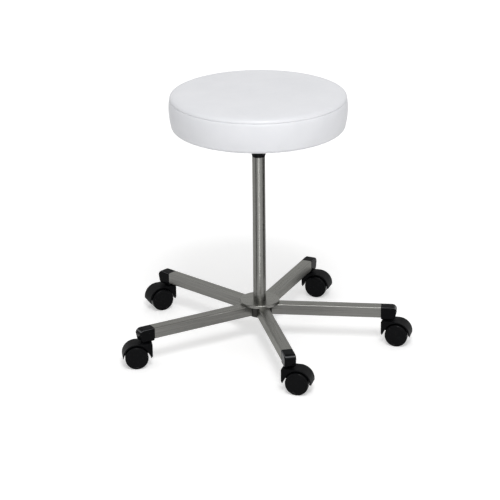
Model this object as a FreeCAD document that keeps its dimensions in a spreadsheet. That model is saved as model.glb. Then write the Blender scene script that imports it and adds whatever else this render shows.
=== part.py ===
import FreeCAD, Part

import math
import os

import Sketcher

# Rolling stool for a treatment room: a round padded seat on a screw spindle, a plain steel column,
# a star base of five square tubes and five hooded twin-wheel casters.
# The origin is on the floor under the column, +Z is up, and the first arm points along -Y.
# All lengths are millimetres and all angles are degrees.

ARM_COUNT = 5
SCREW_COUNT = 4
RIB_COUNT = 4
FULL_TURN = 360
SAME_PLACE = 1e-6

SIZES = {
    # Wheels: two on one axle, one on each side of the hood's web.
    "wheel_diameter": 50,
    "wheel_width": 15,
    "wheel_edge_round": 3,
    "wheel_face_diameter": 41,
    "wheel_face_step": 0.7,
    "wheel_face_wall": 3,
    "wheel_rim_wall": 4,
    "wheel_hub_diameter": 13,
    "wheel_recess_depth": 9,
    "wheel_side_gap": 0.8,
    "axle_diameter": 6,
    "axle_end_gap": 0.5,
    "running_gap": 0.05,
    # Caster hood: measured from the swivel axis, with the axle behind it by caster_trail.
    "caster_trail": 22,
    "hood_wheel_gap": 2.2,
    "hood_wall": 2.3,
    "hood_side_inset": 5.8,
    "hood_front": 12.6,
    "hood_tail_angle": 6,
    "hood_tail_bevel_angle": 18,
    "hood_leg_angle": 20,
    "hood_toe_height": 21.5,
    "hood_toe_setback": 2.8,
    "hood_toe_chamfer": 4.5,
    "hood_corner_round": 3,
    "hood_edge_round": 1.5,
    "hood_web": 17,
    "hood_web_rear_angle": 30,
    "hood_web_front_angle": 12,
    "hood_axle_boss": 18,
    # Caster stem: a socket shank in the end cap, a collar and a pivot in the hood.
    "stem_from_tube": 15.5,
    "stem_diameter": 11,
    "stem_socket_depth": 21,
    "stem_pivot_diameter": 10,
    "stem_pivot_length": 19,
    "stem_collar_diameter": 18,
    "stem_collar_height": 2.2,
    "swivel_gap": 0.3,
    # Direction in which each caster trails, in the order of the arms.
    "caster_angle_1": -27,
    "caster_angle_2": -27,
    "caster_angle_3": -30,
    "caster_angle_4": 193,
    "caster_angle_5": 176,
    # Star base: square tubes welded round a core, with a cover disc on top.
    "first_arm_angle": -90,
    "tube_side": 25,
    "tube_wall": 1.5,
    "tube_corner": 3,
    "arm_reach": 266,
    "hub_core_diameter": 60,
    "hub_core_chamfer": 1,
    "hub_disc_diameter": 86,
    "hub_disc_thickness": 6.5,
    "hub_disc_round": 2,
    "hub_cap_diameter": 56,
    "hub_cap_thickness": 4,
    "hub_cap_spigot_length": 12,
    # End cap: closes a tube and holds the caster's stem.
    "cap_length": 34.5,
    "cap_drop": 4,
    "cap_top_round": 11,
    "cap_toe_round": 7,
    "cap_heel_round": 2,
    "cap_end_lean": 2.5,
    "cap_insert_length": 22,
    "cap_insert_wall": 2.5,
    "cap_insert_corner": 0.8,
    "push_fit_gap": 0.1,
    # Column and lift: the spindle turns in a nut at the top of the column.
    "column_diameter": 28,
    "column_wall": 2,
    "column_length": 361,
    "nut_length": 30,
    "nut_flange_height": 2.5,
    "spindle_diameter": 16,
    "lift_travel": 128,
    "lift_end_gap": 0.5,
    "stop_gap": 0.3,
    "puck_length": 20,
    "puck_end_gap": 0.3,
    "spindle_tip_diameter": 10,
    "puck_washer_diameter": 18,
    "puck_washer_thickness": 2,
    "puck_screw_diameter": 5,
    "puck_screw_length": 14,
    "puck_screw_head_diameter": 9,
    "puck_screw_head_height": 4,
    # Seat carrier: a flange with a tapered boss, stiffened by ribs.
    "carrier_height": 63.5,
    "carrier_flange_diameter": 190,
    "carrier_flange_thickness": 6,
    "carrier_boss_diameter": 30,
    "carrier_boss_collar": 3,
    "carrier_cone_diameter": 68,
    "carrier_cone_height": 40,
    "carrier_rib_thickness": 5,
    "carrier_rib_reach": 88,
    "spindle_socket_depth": 45,
    # Seat: a cover over foam on a round board.
    "seat_diameter": 380,
    "seat_height": 79,
    "seat_crown": 2.2,
    "shoulder_round": 10,
    "shoulder_inset": 1,
    "seam_width": 2.4,
    "seam_depth": 1.2,
    "seam_angle": 18,
    "band_bulge_height": 42,
    "band_top_inset": 0.5,
    "side_draw": 4,
    "lower_round": 10,
    "cover_thickness": 2,
    "cover_fold_width": 26,
    "foam_gap": 0.3,
    "board_margin": 2,
    "board_thickness": 12,
    "board_edge_round": 2,
    "screw_circle_diameter": 150,
    "screw_diameter": 6,
    "screw_hole_gap": 0.3,
    "screw_head_diameter": 11,
    "screw_head_height": 4,
    "thread_gap": 0.05,
    "t_nut_barrel_diameter": 8,
    "t_nut_length": 10,
    "t_nut_flange_diameter": 18,
    "t_nut_flange_thickness": 1.4,
}

doc = FreeCAD.newDocument("rolling_stool")
sheet = doc.addObject("Spreadsheet::Sheet", "Sizes")
for row, (alias, number) in enumerate(SIZES.items(), start=1):
    sheet.set(f"A{row}", alias)
    sheet.set(f"B{row}", str(number))
    sheet.setAlias(f"B{row}", alias)
doc.recompute()


class Size:
    """A length or an angle: its value, and the sheet expression that gives it."""

    def __init__(self, value, text):
        self.value = float(value)
        self.text = text

    def __add__(self, other):
        other = as_size(other)
        return Size(self.value + other.value, f"({self.text} + {other.text})")

    def __radd__(self, other):
        return as_size(other) + self

    def __sub__(self, other):
        other = as_size(other)
        return Size(self.value - other.value, f"({self.text} - {other.text})")

    def __rsub__(self, other):
        return as_size(other) - self

    def __mul__(self, other):
        other = as_size(other)
        return Size(self.value * other.value, f"({self.text} * {other.text})")

    def __rmul__(self, other):
        return as_size(other) * self

    def __truediv__(self, other):
        other = as_size(other)
        return Size(self.value / other.value, f"({self.text} / {other.text})")

    def __neg__(self):
        return Size(-self.value, f"(0 - {self.text})")


def as_size(number):
    if isinstance(number, Size):
        return number
    return Size(number, f"({float(number)!r})")


def size(alias):
    return Size(sheet.get(alias), f"Sizes.{alias}")


def cosine(angle):
    return Size(math.cos(math.radians(angle.value)), f"cos({angle.text} * 1 deg)")


def sine(angle):
    return Size(math.sin(math.radians(angle.value)), f"sin({angle.text} * 1 deg)")


ON_AXIS = "centre on the vertical axis"
ZERO = as_size(0)
HALF_RIGHT_ANGLE = as_size(45)
DIAGONAL = cosine(HALF_RIGHT_ANGLE)
HALF_PITCH = as_size(FULL_TURN / SCREW_COUNT / 2)

# Levels above the floor that several pieces share.
wheel_radius = size("wheel_diameter") / 2
well_radius = wheel_radius + size("hood_wheel_gap")
hood_radius = well_radius + size("hood_wall")
hood_top = wheel_radius + hood_radius
cap_bottom = hood_top + size("swivel_gap") + size("stem_collar_height")
tube_bottom = cap_bottom + size("cap_drop")
tube_top = tube_bottom + size("tube_side")
column_top = tube_bottom + size("column_length")
nut_bottom = column_top - size("nut_length")
carrier_bottom = column_top + size("nut_flange_height") + size("stop_gap")
board_bottom = carrier_bottom + size("carrier_height")
seat_bottom = board_bottom - size("cover_thickness")
board_top = board_bottom + size("board_thickness")
puck_top = nut_bottom - size("lift_end_gap") - size("lift_travel")
puck_bottom = puck_top - size("puck_length")
spindle_shoulder = puck_top + size("puck_end_gap")
spindle_end = puck_bottom - size("puck_end_gap")

# Radii, reaches and widths that several pieces share.
column_radius = size("column_diameter") / 2
column_bore = column_radius - size("column_wall")
spindle_radius = size("spindle_diameter") / 2
spindle_tip_radius = size("spindle_tip_diameter") / 2
axle_radius = size("axle_diameter") / 2
screw_radius = size("screw_diameter") / 2
screw_circle = size("screw_circle_diameter") / 2
seat_radius = size("seat_diameter") / 2
low_corner = (seat_radius - size("side_draw") - size("lower_round"), size("lower_round"))
board_radius = low_corner[0] - size("board_margin")
caster_reach = size("arm_reach") + size("stem_from_tube")
wheel_inner_face = size("hood_web") / 2 + size("wheel_side_gap")
wheel_outer_face = wheel_inner_face + size("wheel_width")
hood_width = (wheel_outer_face - size("hood_side_inset")) * 2
axle_reach = wheel_outer_face - size("wheel_face_wall") - size("axle_end_gap")

sub_parts = []


def new_body(label, z=ZERO):
    """An empty sub-part whose own zero lies at height z."""
    body = doc.addObject("PartDesign::Body", label)
    body.Label = label
    body.setExpression("Placement.Base.z", z.text)
    sub_parts.append(body)
    return body


def origin_feature(body, role):
    return next(item for item in body.Origin.OriginFeatures if item.Role == role)


def new_sketch(body, plane, offset=ZERO):
    """A sketch on one of the body's own planes, moved along the plane's normal."""
    sketch = body.newObject("Sketcher::SketchObject", f"{body.Name}_sketch")
    sketch.AttachmentSupport = [(origin_feature(body, plane), "")]
    sketch.MapMode = "FlatFace"
    sketch.setExpression("AttachmentOffset.Base.z", offset.text)
    return sketch


def hold_point(sketch, geometry, position, point):
    """Ties one point of a sketch to its two coordinates."""
    for kind, coordinate in zip(("DistanceX", "DistanceY"), point):
        name = f"place_{sketch.ConstraintCount}"
        rule = Sketcher.Constraint(kind, -1, 1, geometry, position, coordinate.value)
        sketch.renameConstraint(sketch.addConstraint(rule), name)
        sketch.setExpression(f"Constraints.{name}", coordinate.text)


def vector(point):
    return FreeCAD.Vector(point[0].value, point[1].value, 0)


def arc_on_axis(start, end):
    """The arc from start to end whose centre lies on the vertical axis."""
    rise = end.y - start.y
    centre = FreeCAD.Vector(0, (end.dot(end) - start.dot(start)) / (2 * rise), 0)
    chord_middle = (start + end) / 2
    radius = (start - centre).Length
    through = centre + (chord_middle - centre).normalize() * radius
    return Part.Arc(start, through, end)


def draw_outline(sketch, *points):
    """A closed outline. A point is (u, v) at the end of a line, (through_u, through_v, u, v) at the
    end of an arc, or (ON_AXIS, u, v) at the end of an arc whose centre is on the vertical axis."""
    ends = [point[-2:] for point in points]
    first = None
    last = None
    for index, start in enumerate(ends):
        step = points[(index + 1) % len(points)]
        end = step[-2:]
        if len(step) == 4:
            curve = Part.Arc(vector(start), vector(step[:2]), vector(end))
        elif step[0] is ON_AXIS:
            curve = arc_on_axis(vector(start), vector(end))
        else:
            curve = Part.LineSegment(vector(start), vector(end))
        geometry = sketch.addGeometry(curve, False)
        begins_here = (sketch.getPoint(geometry, 1) - vector(start)).Length < SAME_PLACE
        start_side, end_side = (1, 2) if begins_here else (2, 1)
        hold_point(sketch, geometry, start_side, start)
        if len(step) == 4:
            through = sketch.addGeometry(Part.Point(vector(step[:2])), True)
            hold_point(sketch, through, 1, step[:2])
            sketch.addConstraint(Sketcher.Constraint("PointOnObject", through, 1, geometry))
        elif step[0] is ON_AXIS:
            sketch.addConstraint(Sketcher.Constraint("PointOnObject", geometry, 3, -2))
        if last is None:
            first = (geometry, start_side)
        else:
            sketch.addConstraint(Sketcher.Constraint("Coincident", *last, geometry, start_side))
        last = (geometry, end_side)
    sketch.addConstraint(Sketcher.Constraint("Coincident", *last, *first))


def draw_circle(sketch, radius, centre=(ZERO, ZERO)):
    circle = Part.Circle(vector(centre), FreeCAD.Vector(0, 0, 1), radius.value)
    geometry = sketch.addGeometry(circle, False)
    hold_point(sketch, geometry, 3, centre)
    name = f"radius_{sketch.ConstraintCount}"
    rule = Sketcher.Constraint("Radius", geometry, radius.value)
    sketch.renameConstraint(sketch.addConstraint(rule), name)
    sketch.setExpression(f"Constraints.{name}", radius.text)


def draw_rounded_square(sketch, side, corner, middle):
    """A square with round corners, centred on the vertical axis at height middle."""
    half = side / 2
    inner = half - corner
    cut = inner + corner * DIAGONAL
    draw_outline(
        sketch,
        (inner, middle - half),
        (cut, middle - cut, half, middle - inner),
        (half, middle + inner),
        (cut, middle + cut, inner, middle + half),
        (-inner, middle + half),
        (-cut, middle + cut, -half, middle + inner),
        (-half, middle - inner),
        (-cut, middle - cut, -inner, middle - half),
    )


def pad(body, sketch, length, symmetric=False):
    feature = body.newObject("PartDesign::Pad", f"{body.Name}_pad")
    feature.Profile = sketch
    feature.setExpression("Length", length.text)
    feature.SideType = "Symmetric" if symmetric else "One side"
    doc.recompute()
    return feature


def pocket(body, sketch, depth, symmetric=False, along_normal=False):
    """Cuts a sketch into a body, by default against the sketch's normal."""
    before = body.Shape.Volume
    feature = body.newObject("PartDesign::Pocket", f"{body.Name}_pocket")
    feature.Profile = sketch
    feature.setExpression("Length", depth.text)
    feature.SideType = "Symmetric" if symmetric else "One side"
    feature.Reversed = along_normal
    doc.recompute()
    if body.Shape.Volume >= before:
        raise RuntimeError(f"a cut in {body.Label} removed nothing")
    return feature


def revolve(body, sketch):
    """Turns a sketch on the XZ plane once round the body's Z axis."""
    feature = body.newObject("PartDesign::Revolution", f"{body.Name}_turn")
    feature.Profile = sketch
    feature.ReferenceAxis = (sketch, ["V_Axis"])
    feature.Angle = FULL_TURN
    doc.recompute()
    return feature


def turned(label, *points, z=ZERO):
    """A sub-part turned from one outline of (radius, height) points."""
    body = new_body(label, z)
    sketch = new_sketch(body, "XZ_Plane")
    draw_outline(sketch, *points)
    revolve(body, sketch)
    return body


def polar_pattern(body, features, count):
    pattern = body.newObject("PartDesign::PolarPattern", f"{body.Name}_ring")
    pattern.Originals = features
    pattern.Axis = (origin_feature(body, "Z_Axis"), [""])
    pattern.Angle = FULL_TURN
    pattern.Occurrences = count
    body.Tip = pattern
    doc.recompute()


def round_edges(body, radius, wanted):
    """Rounds the edges of a body's last feature for which wanted(edge) is true."""
    last = body.Tip
    names = [f"Edge{number}" for number, edge in enumerate(last.Shape.Edges, start=1) if wanted(edge)]
    feature = body.newObject("PartDesign::Fillet", f"{body.Name}_round")
    feature.Base = (last, names)
    feature.setExpression("Radius", radius.text)
    doc.recompute()


def edge_middle(edge):
    return edge.valueAt((edge.FirstParameter + edge.LastParameter) / 2)


def arc_point(centre, radius, angle):
    """A point on a circle in a sketch, at an angle from the sketch's first axis."""
    return (centre[0] + radius * cosine(angle), centre[1] + radius * sine(angle))


def arm_angle(index):
    return size("first_arm_angle").value + index * FULL_TURN / ARM_COUNT


def arm_placement(index):
    turn = FreeCAD.Rotation(FreeCAD.Vector(0, 0, 1), arm_angle(index))
    return FreeCAD.Placement(FreeCAD.Vector(0, 0, 0), turn)


def caster_placement(index):
    """The floor under a caster's swivel axis, with +X along the way the caster trails."""
    angle = math.radians(arm_angle(index))
    reach = caster_reach.value
    heading = size(f"caster_angle_{index + 1}").value
    base = FreeCAD.Vector(reach * math.cos(angle), reach * math.sin(angle), 0)
    return FreeCAD.Placement(base, FreeCAD.Rotation(FreeCAD.Vector(0, 0, 1), heading))


def turn_half_pitch(body):
    """Turns a ring of screws, nuts or holes to stand midway between the ribs."""
    body.Placement.Rotation = FreeCAD.Rotation(FreeCAD.Vector(0, 0, 1), 0)
    body.setExpression("Placement.Rotation.Angle", HALF_PITCH.text)


def place(body, placement):
    body.setExpression("Placement.Base.z", None)
    body.Placement = placement


# Seat cushion. Heights are measured from the underside of the cover.
rim_height = size("seat_height") - size("seat_crown")
shoulder = (
    seat_radius - size("shoulder_inset") - size("shoulder_round"),
    rim_height - size("shoulder_round"),
)


def cushion_upper(skin):
    """From the middle of the crown to the top of the shoulder, a skin thickness inside."""
    return [
        (ZERO, size("seat_height") - skin),
        (ON_AXIS, shoulder[0], rim_height - skin),
    ]


def cushion_lower(skin):
    """From the bulge of the side band down round the lower edge, a skin thickness inside."""
    bulge = (seat_radius - skin, size("band_bulge_height"))
    radius = size("lower_round") - skin
    return [
        (*bulge, low_corner[0] + radius, low_corner[1]),
        (*arc_point(low_corner, radius, -HALF_RIGHT_ANGLE), low_corner[0], low_corner[1] - radius),
    ]


def cushion_inside(skin):
    """The whole side of the cushion a skin thickness inside, from the crown to the lower edge."""
    radius = size("shoulder_round") - skin
    return [
        *cushion_upper(skin),
        (*arc_point(shoulder, radius, HALF_RIGHT_ANGLE), shoulder[0] + radius, shoulder[1]),
        *cushion_lower(skin),
    ]


def make_seat_cover():
    """The sewn cover: crowned top panel, seam channel, bulged side band and the fold underneath."""
    fold_radius = board_radius - size("cover_fold_width")
    seam_angle = size("seam_angle")
    seam_top = arc_point(shoulder, size("shoulder_round"), seam_angle)
    seam_foot = (seat_radius - size("band_top_inset"), seam_top[1] - size("seam_width"))
    seam_floor = (seam_top[0] - size("seam_depth"), seam_top[1] - size("seam_width") / 2)
    shoulder_middle = arc_point(shoulder, size("shoulder_round"), (seam_angle + 90) / 2)
    inside = cushion_inside(size("cover_thickness"))
    way_back = [(*step[:-2], *before[-2:]) for before, step in zip(inside, inside[1:])]
    turned(
        "seat_cover",
        *cushion_upper(ZERO),
        (*shoulder_middle, *seam_top),
        (*seam_floor, *seam_foot),
        *cushion_lower(ZERO),
        (fold_radius, ZERO),
        (fold_radius, size("cover_thickness")),
        inside[-1][-2:],
        *reversed(way_back),
        z=seat_bottom,
    )


def make_seat_foam():
    """The foam block, which rests on the board and laps over its edge."""
    skin = size("cover_thickness") + size("foam_gap")
    board_edge = board_radius + size("foam_gap")
    floor = size("cover_thickness") + size("board_thickness")
    turned(
        "seat_foam",
        *cushion_inside(skin),
        (board_edge, skin),
        (board_edge, floor),
        (ZERO, floor),
        z=seat_bottom,
    )


def make_seat_board():
    """The plywood board, with a counterbored hole for each T-nut."""
    top = size("board_thickness")
    edge = size("board_edge_round")
    corner = (board_radius - edge, top - edge)
    body = turned(
        "seat_board",
        (ZERO, ZERO),
        (board_radius, ZERO),
        (board_radius, corner[1]),
        (*arc_point(corner, edge, HALF_RIGHT_ANGLE), corner[0], top),
        (ZERO, top),
        z=board_bottom,
    )
    hole = new_sketch(body, "XY_Plane", top)
    draw_circle(hole, size("t_nut_barrel_diameter") / 2, (screw_circle, ZERO))
    through = pocket(body, hole, top)
    seat = new_sketch(body, "XY_Plane", top)
    draw_circle(seat, size("t_nut_flange_diameter") / 2, (screw_circle, ZERO))
    counterbore = pocket(body, seat, size("t_nut_flange_thickness"))
    polar_pattern(body, [through, counterbore], SCREW_COUNT)
    turn_half_pitch(body)


def make_t_nuts():
    """The T-nuts that are driven into the board from above."""
    body = new_body("t_nuts", board_top)
    flange_sketch = new_sketch(body, "XY_Plane", -size("t_nut_flange_thickness"))
    draw_circle(flange_sketch, size("t_nut_flange_diameter") / 2, (screw_circle, ZERO))
    draw_circle(flange_sketch, screw_radius, (screw_circle, ZERO))
    flange = pad(body, flange_sketch, size("t_nut_flange_thickness"))
    barrel_sketch = new_sketch(body, "XY_Plane", -size("t_nut_length"))
    draw_circle(barrel_sketch, size("t_nut_barrel_diameter") / 2, (screw_circle, ZERO))
    draw_circle(barrel_sketch, screw_radius, (screw_circle, ZERO))
    barrel = pad(body, barrel_sketch, size("t_nut_length") - size("t_nut_flange_thickness"))
    polar_pattern(body, [flange, barrel], SCREW_COUNT)
    turn_half_pitch(body)


def make_seat_screws():
    """The screws that hold the carrier to the board, with their heads under the flange."""
    body = new_body("seat_screws", board_bottom - size("carrier_flange_thickness"))
    head_sketch = new_sketch(body, "XY_Plane", -size("screw_head_height"))
    draw_circle(head_sketch, size("screw_head_diameter") / 2, (screw_circle, ZERO))
    head = pad(body, head_sketch, size("screw_head_height"))
    shank_sketch = new_sketch(body, "XY_Plane")
    draw_circle(shank_sketch, screw_radius - size("thread_gap"), (screw_circle, ZERO))
    tip = size("carrier_flange_thickness") + size("board_thickness") - size("t_nut_flange_thickness")
    shank = pad(body, shank_sketch, tip)
    polar_pattern(body, [head, shank], SCREW_COUNT)
    turn_half_pitch(body)


def make_seat_carrier():
    """The cast carrier: flange, ribs and a boss that tapers down to the column."""
    flange_radius = size("carrier_flange_diameter") / 2
    top = size("carrier_height")
    flange_bottom = top - size("carrier_flange_thickness")
    boss_radius = size("carrier_boss_diameter") / 2
    cone_radius = size("carrier_cone_diameter") / 2
    socket_top = size("spindle_socket_depth")
    body = turned(
        "seat_carrier",
        (spindle_radius, ZERO),
        (boss_radius, ZERO),
        (boss_radius, size("carrier_boss_collar")),
        (cone_radius, size("carrier_cone_height")),
        (cone_radius, flange_bottom),
        (flange_radius, flange_bottom),
        (flange_radius, top),
        (ZERO, top),
        (ZERO, socket_top),
        (spindle_radius, socket_top),
        z=carrier_bottom,
    )
    rib_sketch = new_sketch(body, "XZ_Plane")
    draw_outline(
        rib_sketch,
        (cone_radius / 2, size("carrier_cone_height")),
        (cone_radius, size("carrier_cone_height")),
        (size("carrier_rib_reach"), flange_bottom),
        (cone_radius / 2, flange_bottom),
    )
    rib = pad(body, rib_sketch, size("carrier_rib_thickness"), symmetric=True)
    polar_pattern(body, [rib], RIB_COUNT)
    hole_sketch = new_sketch(body, "XY_Plane", top)
    for index in range(SCREW_COUNT):
        centre = arc_point((ZERO, ZERO), screw_circle, HALF_PITCH * (2 * index + 1))
        draw_circle(hole_sketch, screw_radius + size("screw_hole_gap"), centre)
    pocket(body, hole_sketch, top)


def make_spindle():
    """The lift spindle: a shaft with a stepped lower end that carries the guide puck."""
    top = carrier_bottom + size("spindle_socket_depth")
    screw_bore = size("puck_screw_diameter") / 2
    screw_end = spindle_end + size("puck_screw_length")
    turned(
        "spindle",
        (screw_bore, spindle_end),
        (spindle_tip_radius, spindle_end),
        (spindle_tip_radius, spindle_shoulder),
        (spindle_radius, spindle_shoulder),
        (spindle_radius, top),
        (ZERO, top),
        (ZERO, screw_end),
        (screw_bore, screw_end),
    )


def make_guide_puck():
    """The plastic puck that keeps the foot of the spindle in the middle of the column."""
    bore = spindle_tip_radius + size("running_gap")
    rim = column_bore - size("push_fit_gap")
    turned(
        "guide_puck",
        (bore, puck_bottom),
        (rim, puck_bottom),
        (rim, puck_top),
        (bore, puck_top),
    )


def make_puck_screw():
    """The screw and washer that hold the puck on the spindle."""
    washer_bottom = spindle_end - size("puck_washer_thickness")
    head_bottom = washer_bottom - size("puck_screw_head_height")
    head_radius = size("puck_screw_head_diameter") / 2
    washer_radius = size("puck_washer_diameter") / 2
    shank_radius = size("puck_screw_diameter") / 2 - size("thread_gap")
    tip = spindle_end + size("puck_screw_length")
    turned(
        "puck_screw",
        (ZERO, head_bottom),
        (head_radius, head_bottom),
        (head_radius, washer_bottom),
        (washer_radius, washer_bottom),
        (washer_radius, spindle_end),
        (shank_radius, spindle_end),
        (shank_radius, tip),
        (ZERO, tip),
    )


def make_column_tube():
    """The plain column, from the underside of the core to the nut's flange."""
    body = new_body("column_tube", tube_bottom)
    sketch = new_sketch(body, "XY_Plane")
    draw_circle(sketch, column_radius)
    draw_circle(sketch, column_bore)
    pad(body, sketch, size("column_length"))


def make_spindle_nut():
    """The flanged nut that is pressed into the top of the column."""
    bore = spindle_radius + size("running_gap")
    turned(
        "spindle_nut",
        (bore, nut_bottom),
        (column_bore, nut_bottom),
        (column_bore, column_top),
        (column_radius, column_top),
        (column_radius, column_top + size("nut_flange_height")),
        (bore, column_top + size("nut_flange_height")),
    )


def make_hub_disc():
    """The cover disc over the arms' inner ends, with a rounded rim."""
    radius = size("hub_disc_diameter") / 2
    top = size("hub_disc_thickness")
    edge = size("hub_disc_round")
    corner = (radius - edge, top - edge)
    turned(
        "hub_disc",
        (column_radius, ZERO),
        (radius, ZERO),
        (radius, corner[1]),
        (*arc_point(corner, edge, HALF_RIGHT_ANGLE), corner[0], top),
        (column_radius, top),
        z=tube_top,
    )


def make_hub_core():
    """The core ring that the arms and the column are welded to."""
    radius = size("hub_core_diameter") / 2
    chamfer = size("hub_core_chamfer")
    turned(
        "hub_core",
        (column_radius, ZERO),
        (radius - chamfer, ZERO),
        (radius, chamfer),
        (radius, size("tube_side")),
        (column_radius, size("tube_side")),
        z=tube_bottom,
    )


def make_hub_cap():
    """The plastic cap that closes the column from below."""
    radius = size("hub_cap_diameter") / 2
    spigot = column_bore - size("push_fit_gap")
    bottom = -size("hub_cap_thickness")
    turned(
        "hub_cap",
        (ZERO, bottom),
        (radius + bottom, bottom),
        (radius, ZERO),
        (spigot, ZERO),
        (spigot, size("hub_cap_spigot_length")),
        (ZERO, size("hub_cap_spigot_length")),
        z=tube_bottom,
    )


def make_arm(index):
    """A square tube, coped at its inner end to the core."""
    body = new_body(f"arm_{index + 1}")
    side = size("tube_side")
    wall = size("tube_wall")
    corner = size("tube_corner")
    middle = tube_bottom + side / 2
    section = new_sketch(body, "YZ_Plane")
    draw_rounded_square(section, side, corner, middle)
    draw_rounded_square(section, side - wall * 2, corner - wall, middle)
    pad(body, section, size("arm_reach"))
    cope = new_sketch(body, "XY_Plane", middle)
    draw_circle(cope, size("hub_core_diameter") / 2)
    pocket(body, cope, side * 2, symmetric=True)
    place(body, arm_placement(index))


def make_end_cap(index):
    """A moulded cap: a hollow plug inside the tube, and a rounded block with the stem's socket."""
    body = new_body(f"end_cap_{index + 1}")
    start = size("arm_reach")
    end = start + size("cap_length")
    bottom = cap_bottom
    toe_end = end - size("cap_end_lean")
    brow = (end - size("cap_top_round"), tube_top - size("cap_top_round"))
    toe = (toe_end - size("cap_toe_round"), bottom + size("cap_toe_round"))
    heel = (start + size("cap_heel_round"), bottom + size("cap_heel_round"))
    block = new_sketch(body, "XZ_Plane")
    draw_outline(
        block,
        (start, tube_top),
        (brow[0], tube_top),
        (*arc_point(brow, size("cap_top_round"), HALF_RIGHT_ANGLE), end, brow[1]),
        (toe_end, toe[1]),
        (*arc_point(toe, size("cap_toe_round"), -HALF_RIGHT_ANGLE), toe[0], bottom),
        (heel[0], bottom),
        (*arc_point(heel, size("cap_heel_round"), HALF_RIGHT_ANGLE + 180), start, heel[1]),
    )
    pad(body, block, size("tube_side"), symmetric=True)

    def is_long_edge(edge):
        middle = edge_middle(edge)
        on_side = abs(abs(middle.y) - size("tube_side").value / 2) < SAME_PLACE
        return on_side and middle.x > heel[0].value and middle.z > bottom.value + SAME_PLACE

    round_edges(body, size("tube_corner"), is_long_edge)
    gap = size("push_fit_gap")
    outside = size("tube_side") - size("tube_wall") * 2 - gap * 2
    corner = size("tube_corner") - size("tube_wall")
    middle = tube_bottom + size("tube_side") / 2
    plug = new_sketch(body, "YZ_Plane", start - size("cap_insert_length"))
    draw_rounded_square(plug, outside, corner, middle)
    draw_rounded_square(plug, outside - size("cap_insert_wall") * 2, size("cap_insert_corner"), middle)
    pad(body, plug, size("cap_insert_length"))
    socket = new_sketch(body, "XY_Plane", bottom)
    draw_circle(socket, size("stem_diameter") / 2, (caster_reach, ZERO))
    pocket(body, socket, size("stem_socket_depth"), along_normal=True)
    place(body, arm_placement(index))


def make_caster_stem(index):
    """The steel stem: shank in the end cap, collar under it and pivot in the hood."""
    shank = size("stem_diameter") / 2
    collar = size("stem_collar_diameter") / 2
    pivot = size("stem_pivot_diameter") / 2
    collar_bottom = hood_top + size("swivel_gap")
    foot = collar_bottom - size("stem_pivot_length")
    head = cap_bottom + size("stem_socket_depth")
    body = turned(
        f"caster_stem_{index + 1}",
        (ZERO, foot),
        (pivot, foot),
        (pivot, collar_bottom),
        (collar, collar_bottom),
        (collar, cap_bottom),
        (shank, cap_bottom),
        (shank, head),
        (ZERO, head),
    )
    place(body, caster_placement(index))


def make_caster_hood(index):
    """The moulded hood: a shell over both wheels, a web between them and the pivot's bearing."""
    body = new_body(f"caster_hood_{index + 1}")
    axle = (size("caster_trail"), wheel_radius)
    tail_angle = -size("hood_tail_angle")
    front = -size("hood_front")
    corner_round = size("hood_corner_round")
    corner = (front + corner_round, hood_top - corner_round)
    toe = size("hood_toe_height")
    well_top = (axle[0], axle[1] + well_radius)
    shell = new_sketch(body, "XZ_Plane")
    draw_outline(
        shell,
        (*arc_point(axle, well_radius, HALF_RIGHT_ANGLE),
         *arc_point(axle, well_radius, tail_angle + size("hood_tail_bevel_angle"))),
        arc_point(axle, hood_radius, tail_angle),
        (*arc_point(axle, hood_radius, HALF_RIGHT_ANGLE), axle[0], hood_top),
        (corner[0], hood_top),
        (*arc_point(corner, corner_round, HALF_RIGHT_ANGLE + 90), front, corner[1]),
        (front, toe + size("hood_toe_chamfer")),
        (front + size("hood_toe_setback"), toe),
        arc_point(axle, well_radius, 180 - size("hood_leg_angle")),
        (*arc_point(axle, well_radius, HALF_RIGHT_ANGLE + 90), *well_top),
    )
    pad(body, shell, hood_width, symmetric=True)

    def is_outer_edge(edge):
        on_side = abs(abs(edge_middle(edge).y) - hood_width.value / 2) < SAME_PLACE
        reaches = [math.hypot(end.X - axle[0].value, end.Z - axle[1].value) for end in edge.Vertexes]
        return on_side and min(reaches) > hood_radius.value - SAME_PLACE

    round_edges(body, size("hood_edge_round"), is_outer_edge)
    boss = size("hood_axle_boss") / 2
    shell_middle = well_radius + size("hood_wall") / 2
    web = new_sketch(body, "XZ_Plane")
    draw_outline(
        web,
        (axle[0], axle[1] - boss, axle[0] + boss, axle[1]),
        arc_point(axle, shell_middle, size("hood_web_rear_angle")),
        (axle[0], axle[1] + shell_middle,
         *arc_point(axle, shell_middle, 180 - size("hood_web_front_angle"))),
        (axle[0] - boss, axle[1]),
    )
    pad(body, web, size("hood_web"), symmetric=True)
    bore = new_sketch(body, "XZ_Plane")
    draw_circle(bore, axle_radius, axle)
    pocket(body, bore, hood_width, symmetric=True)
    bearing = new_sketch(body, "XY_Plane", hood_top)
    draw_circle(bearing, size("stem_pivot_diameter") / 2 + size("running_gap"))
    pocket(body, bearing, size("stem_pivot_length"))
    place(body, caster_placement(index))


def axle_placement(index, direction, along):
    """A point on a caster's axle, along from its middle, with +Z pointing in that direction."""
    outward = FreeCAD.Vector(0, direction, 0)
    turn = FreeCAD.Rotation(FreeCAD.Vector(0, 0, 1), outward)
    point = FreeCAD.Vector(size("caster_trail").value, direction * along.value, wheel_radius.value)
    return caster_placement(index).multiply(FreeCAD.Placement(point, turn))


def make_caster_axle(index):
    """The axle pin, pressed through the hood's web."""
    body = new_body(f"caster_axle_{index + 1}")
    sketch = new_sketch(body, "XY_Plane")
    draw_circle(sketch, axle_radius)
    pad(body, sketch, axle_reach * 2)
    place(body, axle_placement(index, 1, -axle_reach))


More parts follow.
